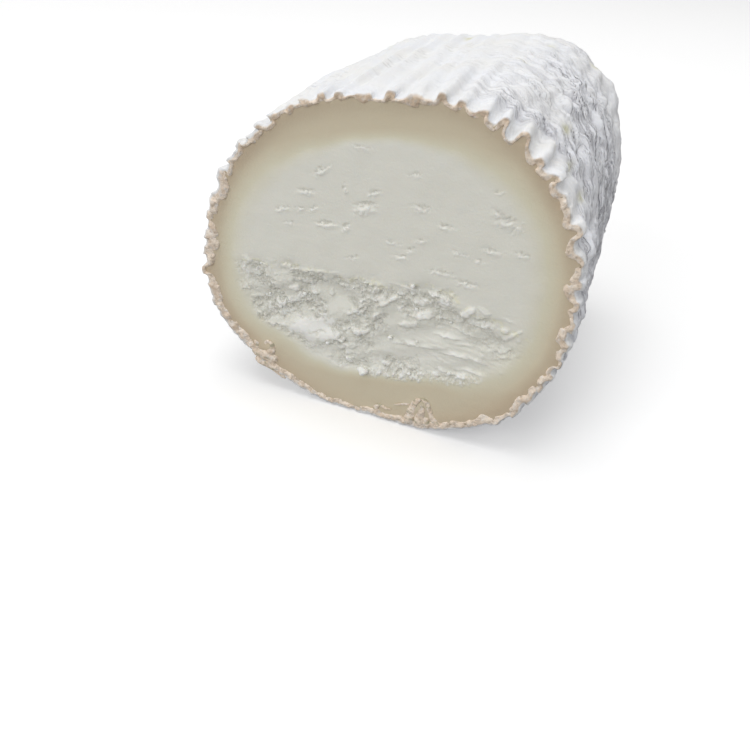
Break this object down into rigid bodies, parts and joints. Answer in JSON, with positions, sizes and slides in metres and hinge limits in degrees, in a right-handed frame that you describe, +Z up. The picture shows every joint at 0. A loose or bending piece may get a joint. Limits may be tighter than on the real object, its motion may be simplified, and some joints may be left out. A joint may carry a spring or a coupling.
{
  "type": "goat cheese log",
  "caption": "Soft-ripened goat cheese log lying on its side, with a fluted white rind, a cut face with a creamy border and chalky middle, and a whole rounded end.",
  "frame": {"origin": "middle of the foot of the log's box, on the surface that it lies on", "axes": "+Z up; Y runs along the log, with the cut face towards -Y and the whole end towards +Y; +X to the right as the cut face is looked at"},
  "size_m": [0.0978, 0.092, 0.0869],
  "materials": {
    "rind": "dry, chalky white bloom with fine wrinkles; stands for cheese rind",
    "paste": "soft and slightly moist; ivory border round a white chalky middle; stands for goat cheese"
  },
  "bodies": {
    "root": {"cheese_log": "rind"}
  },
  "joints": []
}
